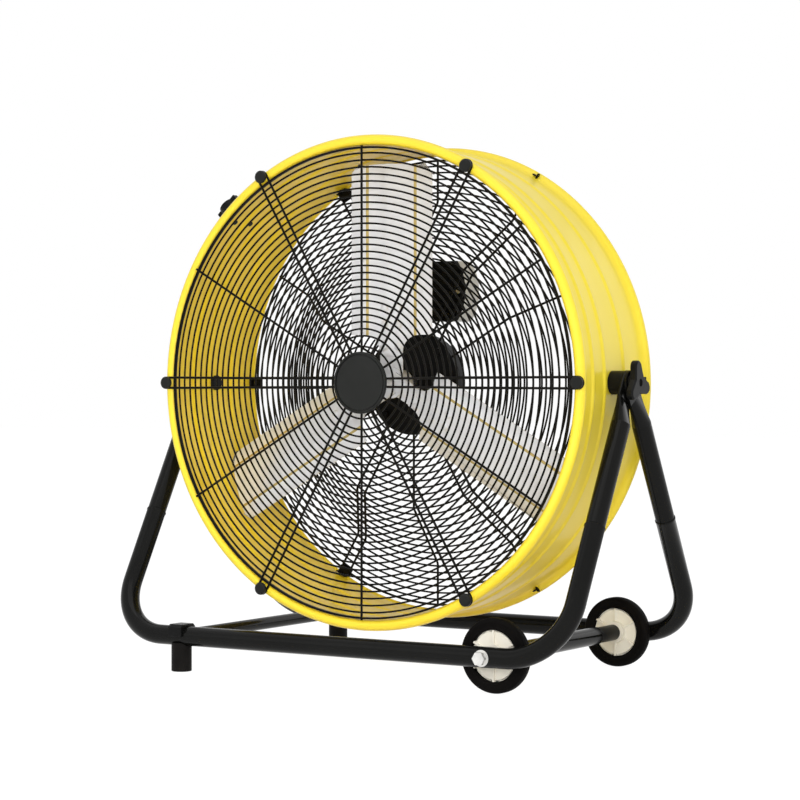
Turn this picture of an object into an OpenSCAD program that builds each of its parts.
// Tilting drum fan on a tubular stand: painted sheet drum, wire guards, three paddle blades on a motor
// that hangs in the rear guard, and two bent base tubes with feet on one side and wheels on the other.
// Millimetres. X runs across the fan, Y to the back, Z up. The floor is Z = 0, the tilt axis is Y = 0.

/* [Drum] */
// Outer diameter of the drum wall
drum_d = 606; // [600:1:616]
// Sheet thickness of the drum wall
drum_wall = 1.2; // [0.8:0.1:2]
// Drum length from front to rear edge
drum_depth = 192; // [188:0.5:206]
// Distance of the drum's front edge before the tilt axis
drum_front = 97; // [94:0.5:103]
// Radius of the rolled front edge
front_roll_r = 7; // [6:0.5:9]
// Radius of the rolled rear edge
rear_roll_r = 5.5; // [4:0.5:7]
// Height of the ribs round the drum
rib_h = 2; // [1:0.25:3]
// Width of one rib
rib_w = 10; // [7:0.5:14]

/* [Front guard] */
// Radius of the guard's outer ring
guard_ring_r = 296.5; // [293:0.5:297.5]
// Radial thickness of the outer ring's strip
guard_band_t = 2.6; // [2:0.1:3]
// Width of the outer ring's strip along the fan axis
guard_band_w = 5; // [3:0.5:6]
// Wire diameter of the concentric rings
ring_wire_d = 2.2; // [1.6:0.1:3]
// Wire diameter of the spokes
spoke_wire_d = 3.1; // [2.6:0.1:4]
// Step from the outer ring to the first inner ring
guard_first_step = 7; // [6:0.1:9]
// Step from one ring to the next
guard_pitch = 8.8; // [8:0.1:8.8]
// Number of inner rings
guard_rings = 28; // [10:1:28]
// Distance between the two wires of a double spoke
hairpin_gap = 13.8; // [10:0.1:18]
// Radius at which the hairpins loop round their clips
clip_ring_r = 307; // [305:0.1:307]
// Diameter of a guard clip's cap
clip_d = 16.5; // [13:0.5:16.5]
// Thickness of a guard clip's cap
clip_t = 5; // [3:0.5:8]
// Diameter of the centre cap
cap_d = 78; // [70:1:84]
// Thickness of the centre cap
cap_t = 4; // [3:0.5:8]

/* [Rear guard] */
// Radius of the rear guard's outer ring
rear_ring_r = 294.5; // [290:0.5:296]
// Number of rings in the rear guard
rear_rings = 25; // [8:1:25]
// Place of the rear guard's outer wires behind the tilt axis
rear_outer_y = 87; // [84:0.5:89]
// Place of the rear guard's centre behind the tilt axis
rear_centre_y = 26.5; // [24:0.5:34]
// Radius at which the outer band of the rear guard starts to dish
dish_outer_r = 239; // [225:1:250]
// Radius of the flat centre of the rear guard
dish_inner_r = 164; // [164:1:180]

/* [Fan] */
// Radius of the blade tips
blade_tip_r = 281.5; // [240:0.5:286]
// Radius of the blade roots
blade_root_r = 61.5; // [50:0.5:80]
// Width of a blade
blade_w = 106; // [80:1:110]
// Width of the flat middle panel of a blade
blade_panel_w = 63; // [40:1:70]
// Sheet thickness of a blade
blade_t = 1.6; // [1.2:0.1:2.5]
// Pitch of the blades in degrees
blade_pitch = 20; // [10:1:26]
// Bend of a blade's two long flanges in degrees
flange_bend = 8; // [2:1:12]
// Place of the blades' middle before the tilt axis
fan_y = 28.5; // [22:0.5:32]
// Number of blades
blades = 3; // [3:1:3]

/* [Motor] */
// Diameter of the motor body
motor_d = 128; // [120:1:130]
// Length of the motor body
motor_len = 42; // [40:1:46]
// Diameter of the mounting disc before the guard
motor_plate_d = 136; // [124:1:136]
// Diameter of the motor shaft
shaft_d = 12; // [10:0.5:16]
// Radius of the junction box's bulged sides
box_r = 70; // [60:1:74]
// Depth of the junction box
box_depth = 38; // [30:1:44]
// Height of the junction box
box_h = 78; // [60:1:80]
// Height of the junction box's underside above the fan axis
box_rise = 80; // [78:1:84]

/* [Stand] */
// Height of the fan axis above the floor
hub_h = 368.5; // [364:0.5:385]
// Height of the base tubes' centre above the floor
tube_z = 45; // [42:0.5:47]
// Distance of the leg tubes from the middle of the fan
leg_x = 328; // [328:0.5:340]
// Distance of the base tubes before and behind the tilt axis
base_y = 181; // [176:0.5:195]
// Outer diameter of the base tubes
tube_d = 25; // [24:0.1:27]
// Wall of the stand tubes
tube_wall = 1.2; // [1:0.1:2]
// Radius of the base tubes' bends at their centre line
bend_r = 74; // [50:1:95]
// Distance of the leg joints below the tilt axis, along the leg
joint_s = 195; // [180:0.5:205]
// Depth of a leg inside its base tube
leg_insert = 28; // [20:1:40]
// Thickness of a leg's flattened end
tab_t = 3.5; // [3:0.1:5]
// Width of a leg's flattened end
tab_w = 31; // [28:0.5:34]

/* [Pivots] */
// Diameter of the pivot bolts
pivot_d = 10; // [8:0.5:12]
// Diameter of the spacers between drum and legs
spacer_d = 29.5; // [24:0.5:32]
// Distance from the fan's middle to the inner face of the leg ends
tab_x = 322; // [321:0.5:323]
// Radius over the lobes of the clamp knobs
knob_r = 27.5; // [25:0.5:32]
// Thickness of the clamp knobs
knob_t = 12; // [10:0.5:16]
// Turn of the clamp knobs in degrees
knob_turn = 12; // [0:1:119]
// Radius of one lobe of the clamp knobs
lobe_r = 8; // [6:0.5:9]

/* [Feet and wheels] */
// Distance of the feet from the middle of the fan
foot_x = 221; // [200:1:240]
// Diameter of the feet
foot_d = 26; // [22:0.5:30]
// Distance of the wheel axle from the middle of the fan
axle_x = 229; // [210:1:240]
// Diameter of the wheel axle
axle_d = 10; // [8:0.5:11]
// Width of a wheel
wheel_w = 16; // [12:0.5:18]
// Radius of the wheel's hub disc
wheel_disc_r = 29; // [26:0.5:29.5]
// Diameter of the tube between the wheels
axle_tube_d = 22.5; // [20:0.5:26]
// Length of the narrow bush beside each wheel
bush_len = 50; // [30:1:54]
// Diameter of the left brace tube
brace_d = 16; // [14:0.5:18]

/* [Controls] */
// Angle of the speed control round the drum in degrees
dial_angle = 135.5; // [120:0.5:140]
// Distance of the speed control before the tilt axis
dial_y = 56.5; // [50:0.5:60]
// Diameter of the speed dial
dial_d = 36; // [30:0.5:40]
// Height of the speed dial
dial_h = 15; // [10:0.5:20]
// Diameter of the switch housing
switch_d = 46; // [44:0.5:50]
// Height of the switch housing
switch_h = 16.5; // [12:0.5:20]

/* [Hidden] */

// Overrun of cuts, the weld depth of crossing wires, and the play of moving and seated pieces
over = 1;
weld = 0.3;
weld_gap = 0.02;
run_fit = 0.08;
seat_fit = 0.1;
free_gap = 0.3;

// Roundness
$fn = 64;
fine = 96;
wire_sides = 8;

// Drum
wall_r = drum_d / 2;
bore_r = wall_r - drum_wall;
front_y = -drum_front;
rear_y = front_y + drum_depth;
front_roll_y = front_y + front_roll_r;
rear_roll_y = rear_y - rear_roll_r;
roll_lap = 4;
front_roll_c = wall_r + front_roll_r - roll_lap;
rear_roll_lap = 3.2;
rear_roll_c = wall_r + rear_roll_r - rear_roll_lap;
roll_slot = 2;
rib_shares = [0.237, 0.397, 0.67];
rib_top_share = 0.4;

// Front guard
spoke_y = front_y - spoke_wire_d / 2 - seat_fit;
ring_y = spoke_y + (spoke_wire_d + ring_wire_d) / 2 - weld;
spoke_root_r = 26;
plate_r = 36;
plate_t = 1.5;
clip_shank_d = 5;
clip_crown_share = 0.7;
cap_lip_w = 3;
cap_lip_t = 1;
guard_step = 60;

// Rear guard
rear_ring_y = (spoke_wire_d + ring_wire_d) / 2 - weld;
rear_root_r = 44;
rear_inner_r = rear_ring_r - guard_first_step;
clip_w = 16;
clip_sheet = 1.6;
clip_lip = 9;
clip_reach = 10;
clip_foot = 8;
slot_y = 79;
slot_len = 5;
bend_bead = 0.4;

// Motor, from the guard's centre plane backwards
plate_thick = 2.5;
plate_back_y = rear_centre_y - spoke_wire_d / 2 - seat_fit;
plate_front_y = plate_back_y - plate_thick;
motor_y = rear_centre_y + spoke_wire_d / 2 + seat_fit;
motor_end_y = motor_y + motor_len;
cover_len = 8;
rear_cover_len = 20;
rear_cover_d = 92;
motor_wall = 3;
motor_bolt_r = 57;
motor_bolt_d = 6;
motor_bolt_head_d = 10;
motor_bolt_head_t = 4;
motor_bolt_len = 13;
motor_bolts_at = [45, 135, 225, 315];
bearing_d = 32;
bearing_w = 9;
bearing_wall = 2.5;
bell_floor = 3;
rotor_d = 66;
air_gap = 0.5;
stator_d = 84;
stator_len = 14;
core_len = 14;
stator_y = motor_y + motor_len / 2;
boss_wall = 4;

// Junction box, on the motor's top
box_set_back = 10;
box_front_y = motor_y + box_set_back;
box_wall = 2;
box_lid_t = 2.5;
box_mid = box_rise + box_h / 2;
box_neck_w = 28;
box_neck_depth = 11;
lead_hole_d = 7;
lead_hole_y = box_front_y + (box_neck_depth + box_wall) / 2;
box_screw_d = 4;
box_screw_head_d = 7;
box_screw_in = 9;
box_screw_len = 12;
gland_d = 18;
gland_len = 12;
gland_bore_d = 8;
gland_neck_d = 12;
gland_x = 38;

// Fan
shaft_nose = 22;
shaft_front_y = -fan_y - shaft_nose;
hub_t = 3;
hub_arm_w = 30;
hub_disc_d = 40;
hub_boss_d = 34;
hub_boss_len = 26;
rivet_d = 6;
rivet_head_d = 11;
rivet_head_t = 2;
rivet_rs = [46, 74, 96];
rivet_side = 9;
arm_reach = 106;
screw_d = 6;
screw_len = 12;
screw_head_t = 4;
tip_round = 14;
neck_w = 30;
neck_r = 34;
neck_fillet = 22;

// Stand
leg_drop = hub_h - tube_z;
leg_lean = atan2(base_y, leg_drop);
leg_len = sqrt(base_y * base_y + leg_drop * leg_drop);
tube_r = tube_d / 2;
leg_step = 0.3;
leg_d = tube_d - 2 * leg_step;
insert_d = tube_d - 2 * tube_wall - 2 * seat_fit;
tab_len = 24;
tab_taper = 34;
tab_end_w = 21.5;
flare_h = 3;
flare_t = 0.6;

// Pivots
spacer_end_x = tab_x - free_gap;
tab_end_x = tab_x + 2 * tab_t;
knob_x = tab_end_x + free_gap;
knob_hub_r = 12;
knob_inset = 1.2;
lobe_t = 8.5;
knob_pocket_d = 9;
knob_pocket_t = 2;
knob_web = 2;
bolt_end_x = knob_x + knob_t - knob_pocket_t - free_gap - knob_web;
bolt_head_d = 20;
bolt_head_t = 4;

// Feet and wheels
wheel_r = tube_z;
wheel_gap = 1.5;
wheel_boss_out = 4;
wheel_y = base_y - tube_r - wheel_gap - wheel_w / 2;
wheel_inner_y = wheel_y - wheel_w / 2 - wheel_boss_out;
tyre_bore_r = 31;
tyre_round = 4;
disc_t = 5;
disc_lip_t = 2;
wheel_rib_w = 2.5;
wheel_rib_h = 15;
wheel_ribs = 6;
wheel_boss_d = 28;
wheel_rib_len = tyre_bore_r - free_gap - wheel_boss_d / 2;
bolt_hex_d = 17;
bolt_hex_t = 7;
nut_t = 6;
washer_d = 20;
washer_t = 1.5;
axle_stub = 1;
bush_d = 20.5;
clamp_w = 21;
clamp_wall = 3;
clamp_chamfer = 4;
foot_recess_d = 12;
foot_recess_h = 6;
foot_screw_d = 5;
foot_screw_head_d = 10;
foot_screw_head_t = 4;
foot_screw_bite = 2;

// Controls
switch_base_r = wall_r + rib_h + seat_fit;
dial_base_r = switch_base_r + switch_h + free_gap;
dial_rim_h = 4;
dial_grip_w = 9;
spindle_d = 6;
spindle_len = 9;
pointer_w = 2;
pointer_t = 0.6;
switch_screw_d = 4;
switch_screw_head_d = 7;
switch_screw_at = 17;
switch_screw_bite = 8;

// Puts children's XY drawings and Z lengths on the fan axis, with Z running to the back
module on_axis(y = 0) {
    translate([0, y, hub_h])
        rotate([-90, 0, 0])
            children();
}

// Turns children drawn along X to the angle a round the fan axis, seen from the front
module spun(a) {
    translate([0, 0, hub_h])
        rotate([0, -a, 0])
            children();
}

// Straight round wire between two points
module rod(p, q, d) {
    v = q - p;
    translate(p)
        rotate([0, acos(v[2] / norm(v)), atan2(v[1], v[0])])
            cylinder(h = norm(v), d = d, $fn = 20);
}

// Wire ring on the fan axis, its section an octagon with a corner towards the spokes
module wire_ring(r, d, y) {
    on_axis(y)
        rotate_extrude($fn = fine)
            translate([r, 0])
                circle(d = d, $fn = wire_sides);
}

// Turned piece on the fan axis between two places, with an optional bore
module turned(d, y0, y1, bore = 0) {
    on_axis(y0)
        difference() {
            cylinder(h = y1 - y0, d = d, $fn = fine);
            if (bore > 0)
                translate([0, 0, -over])
                    cylinder(h = y1 - y0 + 2 * over, d = bore, $fn = fine);
        }
}

// Cylinder along X between two places, at a height and a depth
module bar_x(x0, x1, d, y = 0, z = 0) {
    translate([x0, y, z])
        rotate([0, 90, 0])
            cylinder(h = x1 - x0, d = d);
}

// Cylinder along Y between two places
module bar_y(y0, y1, d, x = 0, z = 0) {
    translate([x, y0, z])
        rotate([-90, 0, 0])
            cylinder(h = y1 - y0, d = d);
}

// Outline points of one rib on the wall, at the place y along the drum
function rib_points(y, r) = [
    [r, y - rib_w / 2],
    [r + rib_h, y - rib_top_share * rib_w / 2],
    [r + rib_h, y + rib_top_share * rib_w / 2],
    [r, y + rib_w / 2],
];
function rib_run(r) = [
    for (s = rib_shares)
        for (p = rib_points(front_y + s * drum_depth, r))
            p
];
function reversed(list) = [for (i = [len(list) - 1:-1:0]) list[i]];

// Cross-section of a rolled edge, with the slot where the sheet's end stops short
module roll_section(c, r, y) {
    translate([c, y])
        difference() {
            circle(r = r, $fn = 48);
            circle(r = r - drum_wall, $fn = 48);
            translate([0, y < 0 ? 0 : -r - over])
                square([roll_slot, r + over]);
        }
}

module drum_shell() {
    color("gold")
        difference() {
            on_axis()
                rotate_extrude($fn = 180)
                    union() {
                        polygon(concat(
                            [[wall_r, front_roll_y]], rib_run(wall_r), [[wall_r, rear_roll_y]],
                            [[bore_r, rear_roll_y]], reversed(rib_run(bore_r)), [[bore_r, front_roll_y]]
                        ));
                        roll_section(front_roll_c, front_roll_r, front_roll_y);
                        roll_section(rear_roll_c, rear_roll_r, rear_roll_y);
                    }
            for (side = [-1, 1])
                bar_x(side < 0 ? -wall_r - over : bore_r - over, side < 0 ? -bore_r + over : wall_r + over,
                    pivot_d + 2 * seat_fit, 0, hub_h);
            for (k = [0:5])
                spun(k * guard_step)
                    bar_y(front_y - over, front_roll_y, clip_shank_d + 2 * seat_fit, clip_ring_r, 0);
            for (k = [0:5])
                spun(k * guard_step)
                    translate([bore_r - over, slot_y - seat_fit, -clip_sheet / 2 - seat_fit])
                        cube([drum_wall + 2 * over, slot_len + 2 * seat_fit, clip_sheet + 2 * seat_fit]);
            dial_frame()
                for (side = [-1, 1])
                    translate([0, side * switch_screw_at, bore_r - 2 * over])
                        cylinder(h = drum_wall + rib_h + 3 * over, d = switch_screw_d + 2 * seat_fit);
        }
}

// Front guard
module front_guard_rings() {
    color("black") {
        on_axis(ring_y)
            rotate_extrude($fn = fine)
                translate([guard_ring_r - guard_band_t / 2, -guard_band_w / 2])
                    square([guard_band_t, guard_band_w]);
        for (k = [0:guard_rings - 1])
            wire_ring(guard_ring_r - guard_first_step - k * guard_pitch, ring_wire_d, ring_y);
    }
}

// Double spoke: one wire that runs out, loops round the clip and runs back
module hairpin(r0, r1, y) {
    for (side = [-1, 1])
        rod([r0, y, side * hairpin_gap / 2], [r1, y, side * hairpin_gap / 2], spoke_wire_d);
    translate([r1, y, 0])
        rotate([90, 0, 0])
            rotate([0, 0, -90])
                rotate_extrude(angle = 180, $fn = 48)
                    translate([hairpin_gap / 2, 0])
                        circle(d = spoke_wire_d, $fn = 24);
}

module front_guard_spokes() {
    color("black")
        for (k = [0:5]) {
            spun(k * guard_step)
                hairpin(spoke_root_r, clip_ring_r, spoke_y);
            spun((k + 1 / 2) * guard_step)
                rod([spoke_root_r, spoke_y, 0], [guard_ring_r + guard_band_t, spoke_y, 0], spoke_wire_d);
        }
}

module front_guard_plate() {
    color("black")
        turned(2 * plate_r, spoke_y + spoke_wire_d / 2 - weld, spoke_y + spoke_wire_d / 2 + plate_t - weld);
}

module front_guard_cap() {
    cap_back_y = spoke_y - spoke_wire_d / 2 - seat_fit;
    color("dimgray")
        difference() {
            turned(cap_d, cap_back_y - cap_t, cap_back_y);
            turned(cap_d - 2 * cap_lip_w, cap_back_y - cap_t - over, cap_back_y - cap_t + cap_lip_t);
        }
}

// Mushroom cap with a shank that screws into the rolled edge
module front_guard_clips() {
    back_y = spoke_y - spoke_wire_d / 2 - seat_fit;
    color("black")
        for (k = [0:5])
            spun(k * guard_step) {
                bar_y(back_y - clip_crown_share * clip_t, back_y, clip_d, clip_ring_r, 0);
                translate([clip_ring_r, back_y - clip_crown_share * clip_t, 0])
                    rotate([90, 0, 0])
                        cylinder(h = (1 - clip_crown_share) * clip_t, d1 = clip_d,
                            d2 = clip_crown_share * clip_d);
                bar_y(back_y, front_roll_y - seat_fit, clip_shank_d, clip_ring_r, 0);
            }
}

// Rear guard: how far back its wires lie at a radius
function dish_y(r) =
    r >= dish_outer_r ? rear_outer_y :
    r <= dish_inner_r ? rear_centre_y :
    rear_centre_y + (rear_outer_y - rear_centre_y) * (r - dish_inner_r) / (dish_outer_r - dish_inner_r);

module rear_guard_rings() {
    color("black") {
        wire_ring(rear_ring_r, spoke_wire_d, rear_outer_y + rear_ring_y);
        for (k = [0:rear_rings - 1])
            wire_ring(rear_inner_r - k * guard_pitch, ring_wire_d,
                dish_y(rear_inner_r - k * guard_pitch) + rear_ring_y);
    }
}

// One wire of the rear guard, bent at both edges of the dish, with a small collar in each bend
module dished_wire(z) {
    path = [
        [rear_root_r, rear_centre_y, z],
        [dish_inner_r, rear_centre_y, z],
        [dish_outer_r, rear_outer_y, z],
        [rear_ring_r, rear_outer_y, z],
    ];
    for (i = [0:len(path) - 2])
        rod(path[i], path[i + 1], spoke_wire_d);
    for (i = [1, 2])
        translate(path[i])
            cylinder(h = spoke_wire_d + bend_bead, d = spoke_wire_d + bend_bead, center = true, $fn = 24);
}

module rear_guard_spokes() {
    color("black")
        for (k = [0:5]) {
            spun(k * guard_step)
                for (side = [-1, 1])
                    dished_wire(side * hairpin_gap / 2);
            spun((k + 1 / 2) * guard_step)
                dished_wire(0);
        }
}

// Channel round the outer ring, its tongue through a slot in the wall and bent over outside
module rear_guard_clips() {
    strap_r = rear_roll_c - rear_roll_r - clip_sheet - seat_fit;
    front_lip_y = rear_outer_y - spoke_wire_d / 2 - seat_fit - clip_sheet;
    rear_lip_y = rear_outer_y + rear_ring_y + spoke_wire_d / 2 + seat_fit;
    color("black")
        for (k = [0:5])
            spun(k * guard_step) {
                translate([strap_r, slot_y, -clip_w / 2])
                    cube([clip_sheet, rear_lip_y + clip_sheet - slot_y, clip_w]);
                for (y = [front_lip_y, rear_lip_y])
                    translate([strap_r - clip_lip, y, -clip_w / 2])
                        cube([clip_lip + clip_sheet, clip_sheet, clip_w]);
                translate([strap_r, slot_y, -clip_sheet / 2])
                    cube([clip_reach, slot_len, clip_sheet]);
                translate([wall_r + seat_fit, slot_y, k < 3 ? -clip_sheet / 2 : clip_sheet / 2 - clip_foot])
                    cube([clip_sheet, slot_len, clip_foot]);
            }
}

// Motor
module motor_plate() {
    color("black")
        difference() {
            turned(motor_plate_d, plate_front_y, plate_back_y, shaft_d + 2 * boss_wall);
            bolt_circle()
                cylinder(h = 2 * motor_bolt_len, d = motor_bolt_d + 2 * seat_fit, center = true);
        }
}

// Places of the four motor bolts, on the mounting disc
module bolt_circle() {
    for (a = motor_bolts_at)
        on_axis(plate_front_y)
            rotate([0, 0, a])
                translate([motor_bolt_r, 0, 0])
                    children();
}

module motor_bolts() {
    color("silver")
        bolt_circle() {
            translate([0, 0, -motor_bolt_head_t])
                cylinder(h = motor_bolt_head_t, d = motor_bolt_head_d, $fn = 6);
            cylinder(h = motor_bolt_len, d = motor_bolt_d);
        }
}

// Cup of a cover that holds a bearing
module bearing_cup(y0, y1) {
    turned(bearing_d + 2 * bearing_wall, y0, y1, bearing_d);
}

module motor_front_cover() {
    floor_y = motor_y + bell_floor;
    color("black")
        difference() {
            union() {
                turned(motor_d, motor_y, motor_y + cover_len, motor_d - 2 * motor_wall);
                turned(motor_d, motor_y, floor_y, bearing_d);
                bearing_cup(motor_y, floor_y + bearing_w);
            }
            bolt_circle()
                cylinder(h = motor_bolt_len + over, d = motor_bolt_d + 2 * seat_fit);
        }
}

module motor_body() {
    body_end_y = motor_end_y - rear_cover_len;
    color("black")
        difference() {
            union() {
                turned(motor_d, motor_y + cover_len, body_end_y);
                translate([-box_neck_w / 2, body_end_y - box_neck_depth, hub_h])
                    cube([box_neck_w, box_neck_depth, box_rise]);
            }
            turned(motor_d - 2 * motor_wall, motor_y, motor_end_y);
            translate([0, lead_hole_y, hub_h])
                cylinder(h = box_rise + over, d = lead_hole_d);
        }
}

// Rear cover: a cup that narrows to the back
module motor_rear_cover() {
    r0 = motor_d / 2;
    r1 = rear_cover_d / 2;
    h = rear_cover_len;
    color("black") {
        on_axis(motor_end_y - h)
            rotate_extrude($fn = fine)
                polygon([
                    [r0 - motor_wall, 0], [r0, 0], [r1, h], [0, h],
                    [0, h - bell_floor], [r1 - motor_wall, h - bell_floor],
                ]);
        bearing_cup(motor_end_y - bell_floor - bearing_w, motor_end_y - bell_floor / 2);
    }
}

module bearing(y0) {
    color("silver")
        turned(bearing_d - 2 * seat_fit, y0, y0 + bearing_w, shaft_d + 2 * run_fit);
}

module front_bearing() {
    bearing(motor_y + bell_floor);
}

module rear_bearing() {
    bearing(motor_end_y - bell_floor - bearing_w);
}

// Stator pack, held in the body by its outer ring
module stator() {
    color("sienna") {
        turned(stator_d, stator_y - stator_len / 2, stator_y + stator_len / 2, rotor_d + 2 * air_gap);
        turned(motor_d - 2 * motor_wall - 2 * seat_fit, motor_y + cover_len + seat_fit,
            motor_end_y - rear_cover_len - seat_fit, stator_d - over);
    }
}

// Slab of the junction box's outline: bulged sides, flat top and bottom
module box_slab(y0, y1, inset = 0) {
    on_axis(y0)
        translate([0, -box_mid, 0])
            linear_extrude(height = y1 - y0)
                intersection() {
                    circle(r = box_r - inset, $fn = fine);
                    square([2 * box_r, box_h - 2 * inset], center = true);
                }
}

// Places of the lid's two screws
module box_screw_places(y) {
    for (side = [-1, 1])
        translate([side * (box_r - box_screw_in), y, hub_h + box_mid])
            rotate([-90, 0, 0])
                children();
}

module junction_box() {
    y0 = box_front_y + box_lid_t;
    y1 = box_front_y + box_depth;
    color("silver")
        difference() {
            union() {
                difference() {
                    box_slab(y0, y1);
                    box_slab(y0 - over, y1 - box_wall, box_wall);
                }
                box_screw_places(y0)
                    cylinder(h = box_depth - box_lid_t, d = box_screw_head_d);
            }
            box_screw_places(y0 - over)
                cylinder(h = box_screw_len + over, d = box_screw_d + 2 * seat_fit);
            translate([0, lead_hole_y, hub_h])
                cylinder(h = box_mid, d = lead_hole_d);
            translate([-gland_x, box_front_y + box_depth / 2, hub_h])
                cylinder(h = box_mid, d = gland_neck_d + 2 * seat_fit);
        }
}

module junction_box_lid() {
    color("black")
        difference() {
            box_slab(box_front_y, box_front_y + box_lid_t);
            box_screw_places(box_front_y - over)
                cylinder(h = box_lid_t + 2 * over, d = box_screw_d + 2 * seat_fit);
        }
}

module junction_box_screws() {
    color("silver") {
        box_screw_places(box_front_y - rivet_head_t)
            cylinder(h = rivet_head_t, d = box_screw_head_d);
        box_screw_places(box_front_y)
            cylinder(h = box_screw_len, d = box_screw_d);
    }
}

// Threaded gland for the lead under the box, with its nut inside
module cable_gland() {
    color("black")
        translate([-gland_x, box_front_y + box_depth / 2, hub_h + box_rise])
            difference() {
                union() {
                    translate([0, 0, -gland_len])
                        cylinder(h = gland_len, d = gland_d);
                    cylinder(h = box_wall + bell_floor, d = gland_neck_d);
                    translate([0, 0, box_wall])
                        cylinder(h = bell_floor, d = gland_d);
                }
                translate([0, 0, -gland_len - over])
                    cylinder(h = gland_len + box_wall + bell_floor + 2 * over, d = gland_bore_d);
            }
}

// Fan: shaft, rotor, hub and blades
module motor_shaft() {
    color("silver")
        turned(shaft_d, shaft_front_y, motor_end_y - bell_floor - free_gap);
}

module rotor() {
    color("silver")
        turned(rotor_d, stator_y - core_len / 2, stator_y + core_len / 2, shaft_d);
}

// Three-armed plate with a boss that clamps on the shaft
module fan_hub() {
    hub_y = -fan_y;
    color("gainsboro")
        difference() {
            union() {
                turned(hub_disc_d, hub_y - hub_t / 2, hub_y + hub_t / 2);
                turned(hub_boss_d, hub_y - hub_t / 2, hub_y + hub_boss_len);
                for (k = [0:blades - 1])
                    blade_frame(k)
                        translate([0, -hub_arm_w / 2, -blade_t / 2 - hub_t])
                            cube([arm_reach, hub_arm_w, hub_t]);
            }
            turned(shaft_d, shaft_front_y - over, hub_y + hub_boss_len + over);
            rivet_places()
                cylinder(h = 2 * screw_len, d = rivet_d, center = true);
            spun(90)
                rod([shaft_d / 2, hub_y + hub_boss_len - screw_d, 0],
                    [hub_boss_d, hub_y + hub_boss_len - screw_d, 0], screw_d);
        }
}

// Frame of one blade: X runs out to the tip, Y across the blade, Z is its front face's normal
module blade_frame(k) {
    translate([0, -fan_y, hub_h])
        rotate([0, -(90 + k * 360 / blades), 0])
            rotate([90 + blade_pitch, 0, 0])
                children();
}

// Planform: a neck with filleted shoulders, straight long edges, a tip on the sweep circle
module blade_planform() {
    half = blade_w / 2;
    corner_x = sqrt(pow(blade_tip_r - tip_round, 2) - pow(half - tip_round, 2));
    intersection() {
        circle(r = blade_tip_r, $fn = 180);
        union() {
            translate([blade_root_r, -half])
                square([corner_x - blade_root_r, blade_w]);
            translate([blade_root_r, -half + tip_round])
                square([blade_tip_r - blade_root_r, blade_w - 2 * tip_round]);
            for (side = [-1, 1])
                translate([corner_x, side * (half - tip_round)])
                    circle(r = tip_round, $fn = 32);
            translate([neck_r, -neck_w / 2])
                square([blade_root_r, neck_w]);
            difference() {
                translate([blade_root_r - neck_fillet, -neck_w / 2 - neck_fillet])
                    square([neck_fillet + over, neck_w + 2 * neck_fillet]);
                for (side = [-1, 1])
                    translate([blade_root_r - neck_fillet, side * (neck_w / 2 + neck_fillet)])
                        circle(r = neck_fillet, $fn = 48);
            }
        }
    }
}

// Cross-section: a flat panel with the two long edges bent back
function blade_side(s, z) = [
    [s * blade_panel_w / 2, z],
    [s * blade_w / 2, z - (blade_w - blade_panel_w) / 2 * tan(flange_bend)],
];
module blade(k) {
    top = blade_t / 2;
    color("whitesmoke")
        difference() {
            blade_frame(k)
                intersection() {
                    linear_extrude(height = 2 * blade_w, center = true)
                        blade_planform();
                    rotate([90, 0, 90])
                        linear_extrude(height = blade_tip_r + over)
                            polygon(concat(
                                reversed(blade_side(-1, top)), blade_side(1, top),
                                reversed(blade_side(1, -top)), blade_side(-1, -top)
                            ));
                }
            rivet_places()
                cylinder(h = 2 * screw_len, d = rivet_d, center = true);
        }
}

module blade_top() {
    blade(0);
}

module blade_left() {
    blade(1);
}

module blade_right() {
    blade(2);
}

module rivet_places() {
    for (k = [0:blades - 1])
        blade_frame(k)
            for (r = rivet_rs, side = [-1, 1])
                translate([r, side * rivet_side, 0])
                    children();
}

module blade_rivets() {
    color("silver")
        rivet_places() {
            translate([0, 0, -blade_t / 2 - hub_t - rivet_head_t])
                cylinder(h = rivet_head_t, d = rivet_head_d);
            translate([0, 0, -blade_t / 2 - hub_t])
                cylinder(h = hub_t + blade_t, d = rivet_d - 2 * seat_fit);
            translate([0, 0, blade_t / 2])
                cylinder(h = rivet_head_t, d1 = rivet_head_d, d2 = rivet_d);
        }
}

// Set screw that locks the hub on the shaft
module hub_screw() {
    y = -fan_y + hub_boss_len - screw_d;
    color("silver")
        spun(90)
            rod([shaft_d / 2, y, 0], [hub_boss_d / 2 + screw_head_t, y, 0], screw_d - 2 * seat_fit);
}

// Stand: frame of one leg plane, with the tilt axis at its origin and -Z along the legs
module leg_plane(front) {
    translate([0, 0, hub_h])
        rotate([front ? -leg_lean : leg_lean, 0, 0])
            children();
}

// Solid path of a base tube, down one leg, round two bends and along the floor
module base_path(d) {
    straight = leg_len - bend_r - joint_s;
    for (side = [-1, 1]) {
        translate([side * leg_x, 0, -leg_len + bend_r])
            cylinder(h = straight, d = d, $fn = 48);
        translate([side * (leg_x - bend_r), 0, -leg_len + bend_r])
            mirror([side < 0 ? 1 : 0, 0, 0])
                rotate([90, 0, 0])
                    rotate([0, 0, -90])
                        rotate_extrude(angle = 90, $fn = fine)
                            translate([bend_r, 0])
                                circle(d = d, $fn = 48);
    }
    bar_x(-leg_x + bend_r, leg_x - bend_r, d, 0, -leg_len);
}

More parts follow.
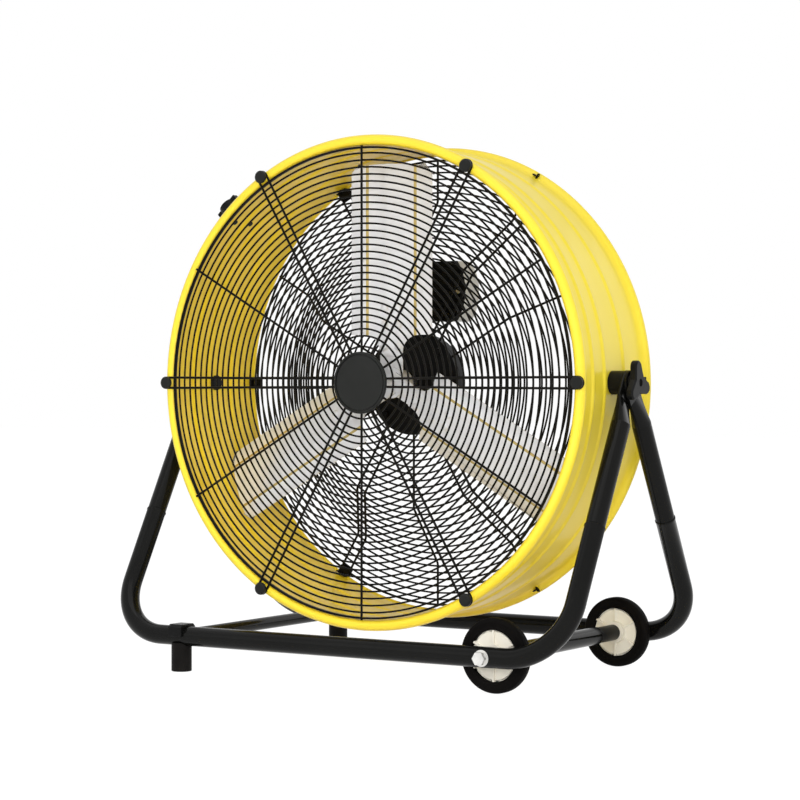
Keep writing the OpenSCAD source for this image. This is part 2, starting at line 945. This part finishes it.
module base_tube(front) {
    y = front ? -base_y : base_y;
    color("black")
        difference() {
            union() {
                leg_plane(front)
                    base_path(tube_d);
                leg_plane(front)
                    for (side = [-1, 1])
                        translate([side * leg_x, 0, -joint_s - flare_h])
                            cylinder(h = flare_h, d = tube_d + 2 * flare_t);
            }
            leg_plane(front) {
                base_path(tube_d - 2 * tube_wall);
                for (side = [-1, 1])
                    translate([side * leg_x, 0, -joint_s - over])
                        cylinder(h = 2 * over, d = tube_d - 2 * tube_wall);
            }
            bar_y(y - tube_d, y + tube_d, axle_d + 2 * seat_fit, axle_x, tube_z);
            translate([-foot_x, y, 0])
                cylinder(h = 2 * tube_z, d = foot_screw_d + 2 * seat_fit);
        }
}

module front_base_tube() {
    base_tube(true);
}

module rear_base_tube() {
    base_tube(false);
}

// Leg: flattened end with the pivot hole, flat-sided taper, tube, and the neck that fits the base tube
module leg(front, side) {
    tab_mid = tab_x + (front ? 1 : 3) * tab_t / 2;
    taper_z = tab_len + tab_taper;
    shoulder_z = joint_s - free_gap;
    color("black")
        difference() {
            leg_plane(front)
                mirror([side < 0 ? 1 : 0, 0, 0]) {
                    bar_x(tab_mid - tab_t / 2, tab_mid + tab_t / 2, tab_w);
                    translate([tab_mid - tab_t / 2, 0, 0])
                        rotate([90, 0, 90])
                            linear_extrude(height = tab_t)
                                polygon([
                                    [-tab_w / 2, 0], [-tab_w / 2, -tab_len], [-tab_end_w / 2, -taper_z],
                                    [tab_end_w / 2, -taper_z], [tab_w / 2, -tab_len], [tab_w / 2, 0],
                                ]);
                    intersection() {
                        rotate([90, 0, 0])
                            linear_extrude(height = 2 * tab_w, center = true)
                                polygon([
                                    [tab_mid - tab_t / 2, -tab_len], [tab_mid + tab_t / 2, -tab_len],
                                    [leg_x + leg_d / 2, -taper_z], [leg_x - leg_d / 2, -taper_z],
                                ]);
                        translate([leg_x, 0, -taper_z])
                            cylinder(h = tab_taper, d = leg_d);
                    }
                    translate([leg_x, 0, -shoulder_z])
                        cylinder(h = shoulder_z - taper_z, d = leg_d);
                    translate([leg_x, 0, -joint_s - leg_insert])
                        cylinder(h = leg_insert + over, d = insert_d);
                }
            bar_x(side < 0 ? -leg_x - tab_w : tab_x - tab_w, side < 0 ? -tab_x + tab_w : leg_x + tab_w,
                pivot_d + 2 * run_fit, 0, hub_h);
            leg_plane(front)
                translate([side * leg_x, 0, -joint_s - leg_insert - over])
                    cylinder(h = joint_s + leg_insert + over - taper_z, d = insert_d - 2 * tube_wall);
        }
}

module front_left_leg() {
    leg(true, -1);
}

module front_right_leg() {
    leg(true, 1);
}

module rear_left_leg() {
    leg(false, -1);
}

module rear_right_leg() {
    leg(false, 1);
}

module left_brace_tube() {
    color("black")
        difference() {
            bar_y(-base_y, base_y, brace_d, -foot_x, tube_z);
            bar_y(-base_y - over, base_y + over, brace_d - 2 * tube_wall, -foot_x, tube_z);
            for (y = [-base_y, base_y])
                bar_x(-foot_x - brace_d, -foot_x + brace_d, tube_d + 2 * weld_gap, y, tube_z);
        }
}

// Foot: a rubber block that the base tube lies in
module foot(y) {
    color("black")
        difference() {
            translate([-foot_x, y, 0])
                cylinder(h = tube_z, d = foot_d);
            bar_x(-foot_x - foot_d, -foot_x + foot_d, tube_d + 2 * seat_fit, y, tube_z);
            translate([-foot_x - foot_d, y - foot_d, tube_z - brace_d / 2 - free_gap])
                cube([2 * foot_d, 2 * foot_d, tube_z]);
            translate([-foot_x, y, -over])
                cylinder(h = tube_z, d = foot_screw_d + 2 * seat_fit);
            translate([-foot_x, y, -over])
                cylinder(h = foot_recess_h + over, d = foot_recess_d);
        }
}

module front_foot() {
    foot(-base_y);
}

module rear_foot() {
    foot(base_y);
}

// Moulded saddle over the base tube, notched for the brace tube
module foot_clamp(y) {
    top = tube_r + clamp_wall;
    color("black")
        translate([-foot_x, y, tube_z])
            difference() {
                rotate([90, 0, 90])
                    linear_extrude(height = clamp_w, center = true)
                        polygon([
                            [-top, 0], [-top, top - clamp_chamfer], [-top + clamp_chamfer, top],
                            [top - clamp_chamfer, top], [top, top - clamp_chamfer], [top, 0],
                        ]);
                bar_x(-clamp_w, clamp_w, tube_d + 2 * seat_fit);
                bar_y(y < 0 ? 0 : -top - over, y < 0 ? top + over : 0, brace_d + 2 * free_gap);
                cylinder(h = tube_r + foot_screw_bite, d = foot_screw_d + 2 * seat_fit);
            }
}

module front_foot_clamp() {
    foot_clamp(-base_y);
}

module rear_foot_clamp() {
    foot_clamp(base_y);
}

module foot_screws() {
    z0 = foot_recess_h - foot_screw_head_t;
    color("silver")
        for (y = [-base_y, base_y])
            translate([-foot_x, y, z0]) {
                cylinder(h = foot_screw_head_t, d = foot_screw_head_d);
                cylinder(h = tube_z + tube_r + foot_screw_bite - z0 - seat_fit, d = foot_screw_d);
            }
}

// Axle: one long bolt through both base tubes
module wheel_axle() {
    head_y = -base_y - tube_r - washer_t;
    color("silver") {
        bar_y(head_y, base_y + tube_r + washer_t + nut_t + axle_stub, axle_d, axle_x, tube_z);
        translate([axle_x, head_y - bolt_hex_t, tube_z])
            rotate([-90, 0, 0])
                cylinder(h = bolt_hex_t, d = bolt_hex_d, $fn = 6);
        bar_y(head_y, -base_y - tube_r, washer_d, axle_x, tube_z);
    }
}

module axle_nut() {
    y0 = base_y + tube_r;
    color("silver")
        difference() {
            union() {
                bar_y(y0, y0 + washer_t, washer_d, axle_x, tube_z);
                translate([axle_x, y0 + washer_t, tube_z])
                    rotate([-90, 0, 0])
                        cylinder(h = nut_t, d = bolt_hex_d, $fn = 6);
            }
            bar_y(y0 - over, y0 + washer_t + nut_t + over, axle_d + 2 * seat_fit, axle_x, tube_z);
        }
}

// Sleeve on the axle between two places
module axle_sleeve(y0, y1, d) {
    difference() {
        bar_y(y0, y1, d, axle_x, tube_z);
        bar_y(y0 - over, y1 + over, axle_d + 2 * seat_fit, axle_x, tube_z);
    }
}

module axle_spacer_tube() {
    end_y = wheel_inner_y - bush_len - seat_fit;
    color("black")
        axle_sleeve(-end_y, end_y, axle_tube_d);
}

// Bushes that keep each wheel in its place on the axle
module axle_bushes() {
    outer_y = wheel_y + wheel_w / 2 + free_gap;
    tube_side_y = base_y - tube_r - seat_fit;
    color("black")
        for (side = [-1, 1]) {
            axle_sleeve(side < 0 ? free_gap - wheel_inner_y : wheel_inner_y - bush_len,
                side < 0 ? bush_len - wheel_inner_y : wheel_inner_y - free_gap, bush_d);
            axle_sleeve(side < 0 ? -tube_side_y : outer_y, side < 0 ? -outer_y : tube_side_y, bush_d);
        }
}

// Wheel hub: disc, ribs out to the tyre, and a boss that stands out on the inner side
module wheel_hub(y) {
    dir = y < 0 ? 1 : -1;
    color("ivory")
        translate([axle_x, y, tube_z])
            rotate([-90, 0, 0])
                difference() {
                    union() {
                        cylinder(h = disc_t, r = tyre_bore_r - seat_fit, center = true, $fn = fine);
                        translate([0, 0, dir * wheel_boss_out / 2])
                            cylinder(h = wheel_w + wheel_boss_out, d = wheel_boss_d, center = true);
                        cylinder(h = disc_t + 2 * disc_lip_t, r = wheel_disc_r, center = true, $fn = fine);
                        for (k = [0:wheel_ribs - 1])
                            rotate([0, 0, 90 + k * 360 / wheel_ribs])
                                translate([wheel_boss_d / 2 - over, -wheel_rib_w / 2, -wheel_rib_h / 2])
                                    cube([wheel_rib_len + over, wheel_rib_w, wheel_rib_h]);
                    }
                    cylinder(h = 2 * wheel_w, d = axle_d + 2 * run_fit, center = true);
                }
}

module wheel_tyre(y) {
    half = wheel_w / 2;
    color("black")
        translate([axle_x, y, tube_z])
            rotate([-90, 0, 0])
                rotate_extrude($fn = fine)
                    union() {
                        translate([tyre_bore_r, -half])
                            square([wheel_r - tyre_bore_r - tyre_round, wheel_w]);
                        translate([tyre_bore_r, -half + tyre_round])
                            square([wheel_r - tyre_bore_r, wheel_w - 2 * tyre_round]);
                        for (side = [-1, 1])
                            translate([wheel_r - tyre_round, side * (half - tyre_round)])
                                circle(r = tyre_round, $fn = 32);
                    }
}

module front_wheel_hub() {
    wheel_hub(-wheel_y);
}

module front_wheel_tyre() {
    wheel_tyre(-wheel_y);
}

module rear_wheel_hub() {
    wheel_hub(wheel_y);
}

module rear_wheel_tyre() {
    wheel_tyre(wheel_y);
}

// Pivots: drawn on the right side and mirrored to the left
module sided(side) {
    translate([0, 0, hub_h])
        mirror([side < 0 ? 1 : 0, 0, 0])
            children();
}

module spacer(side) {
    color("black")
        difference() {
            sided(side)
                bar_x(bore_r - over, spacer_end_x, spacer_d);
            turned(drum_d + 2 * seat_fit, -spacer_d, spacer_d);
            sided(side)
                bar_x(bore_r - over, spacer_end_x + over, pivot_d + 2 * seat_fit);
        }
}

module left_spacer() {
    spacer(-1);
}

module right_spacer() {
    spacer(1);
}

// Bolt from inside the drum, its head bedded on the curved wall
module pivot_bolt(side) {
    color("black") {
        intersection() {
            sided(side)
                bar_x(bore_r - bolt_head_t, bore_r, bolt_head_d);
            turned(2 * bore_r - 2 * seat_fit, -bolt_head_d, bolt_head_d);
        }
        sided(side)
            bar_x(bore_r - bolt_head_t / 2, bolt_end_x, pivot_d);
    }
}

module left_pivot_bolt() {
    pivot_bolt(-1);
}

module right_pivot_bolt() {
    pivot_bolt(1);
}

// Three-lobed outline: a round middle and lobes joined to it by their tangent lines
module knob_outline(inset) {
    mid_r = knob_hub_r - inset;
    tip_r = lobe_r - inset;
    reach = knob_r - lobe_r;
    lean = acos((mid_r - tip_r) / reach);
    circle(r = mid_r, $fn = 48);
    for (k = [0:2])
        rotate(k * 120) {
            translate([reach, 0])
                circle(r = tip_r, $fn = 48);
            polygon([
                [mid_r * cos(lean), mid_r * sin(lean)],
                [reach + tip_r * cos(lean), tip_r * sin(lean)],
                [reach + tip_r * cos(lean), -tip_r * sin(lean)],
                [mid_r * cos(lean), -mid_r * sin(lean)],
            ]);
        }
}

module clamp_knob(side) {
    face = knob_t - knob_inset;
    color("black")
        sided(side)
            translate([knob_x, 0, 0])
                rotate([0, 90, 0])
                    difference() {
                        union() {
                            cylinder(h = knob_t - lobe_t + over, r = knob_hub_r);
                            rotate(180 + knob_turn) {
                                translate([0, 0, knob_t - lobe_t])
                                    linear_extrude(height = lobe_t - knob_inset)
                                        knob_outline(0);
                                translate([0, 0, face])
                                    linear_extrude(height = knob_inset)
                                        knob_outline(knob_inset);
                            }
                        }
                        translate([0, 0, -over])
                            cylinder(h = bolt_end_x - knob_x + free_gap + over, d = pivot_d + 2 * run_fit);
                        translate([0, 0, knob_t - knob_pocket_t])
                            cylinder(h = knob_pocket_t + over, d = knob_pocket_d);
                    }
}

module left_clamp_knob() {
    clamp_knob(-1);
}

module right_clamp_knob() {
    clamp_knob(1);
}

// Controls: frame on the drum with Z pointing out along the dial's spindle
module dial_frame() {
    translate([0, -dial_y, hub_h])
        rotate([0, 90 - dial_angle, 0])
            children();
}

module switch_housing() {
    color("black")
        difference() {
            dial_frame()
                translate([0, 0, bore_r])
                    cylinder(h = switch_base_r - bore_r + switch_h, d = switch_d);
            turned(2 * switch_base_r, front_y, rear_y);
            dial_frame()
                translate([0, 0, switch_base_r + switch_h - spindle_len])
                    cylinder(h = spindle_len + over, d = spindle_d + 2 * run_fit);
            dial_frame()
                for (side = [-1, 1])
                    translate([0, side * switch_screw_at, bore_r])
                        cylinder(h = switch_base_r - bore_r + switch_screw_bite,
                            d = switch_screw_d + 2 * seat_fit);
        }
}

// Screws from inside the drum into the switch housing
module switch_screws() {
    color("black")
        dial_frame()
            for (side = [-1, 1])
                translate([0, side * switch_screw_at, 0]) {
                    translate([0, 0, bore_r - rivet_head_t - seat_fit])
                        cylinder(h = rivet_head_t, d = switch_screw_head_d);
                    translate([0, 0, bore_r - rivet_head_t])
                        cylinder(h = switch_base_r + switch_screw_bite - bore_r + rivet_head_t - seat_fit,
                            d = switch_screw_d);
                }
}

module speed_dial() {
    color("black")
        dial_frame()
            translate([0, 0, dial_base_r])
                difference() {
                    union() {
                        cylinder(h = dial_rim_h, d = dial_d);
                        translate([0, 0, dial_rim_h])
                            cylinder(h = dial_h - dial_rim_h, d1 = dial_d * clip_crown_share,
                                d2 = dial_d * clip_crown_share - pointer_w);
                        translate([-dial_d / 2, -dial_grip_w / 2, 0])
                            cube([dial_d, dial_grip_w, dial_h]);
                        translate([0, 0, -spindle_len + free_gap])
                            cylinder(h = spindle_len, d = spindle_d);
                    }
                    translate([dial_d / 4, -pointer_w / 2, dial_h - pointer_t])
                        cube([dial_d, pointer_w, dial_h]);
                }
}

front_base_tube();
rear_base_tube();
front_left_leg();
front_right_leg();
rear_left_leg();
rear_right_leg();
left_brace_tube();
front_foot();
rear_foot();
front_foot_clamp();
rear_foot_clamp();
foot_screws();
wheel_axle();
axle_nut();
axle_spacer_tube();
axle_bushes();
front_wheel_hub();
front_wheel_tyre();
rear_wheel_hub();
rear_wheel_tyre();
drum_shell();
front_guard_rings();
front_guard_spokes();
front_guard_plate();
front_guard_cap();
front_guard_clips();
rear_guard_rings();
rear_guard_spokes();
rear_guard_clips();
motor_plate();
motor_bolts();
motor_front_cover();
motor_body();
motor_rear_cover();
front_bearing();
rear_bearing();
stator();
junction_box();
junction_box_lid();
junction_box_screws();
cable_gland();
switch_housing();
switch_screws();
left_spacer();
right_spacer();
left_pivot_bolt();
right_pivot_bolt();
left_clamp_knob();
right_clamp_knob();
speed_dial();
motor_shaft();
rotor();
fan_hub();
blade_top();
blade_left();
blade_right();
blade_rivets();
hub_screw();
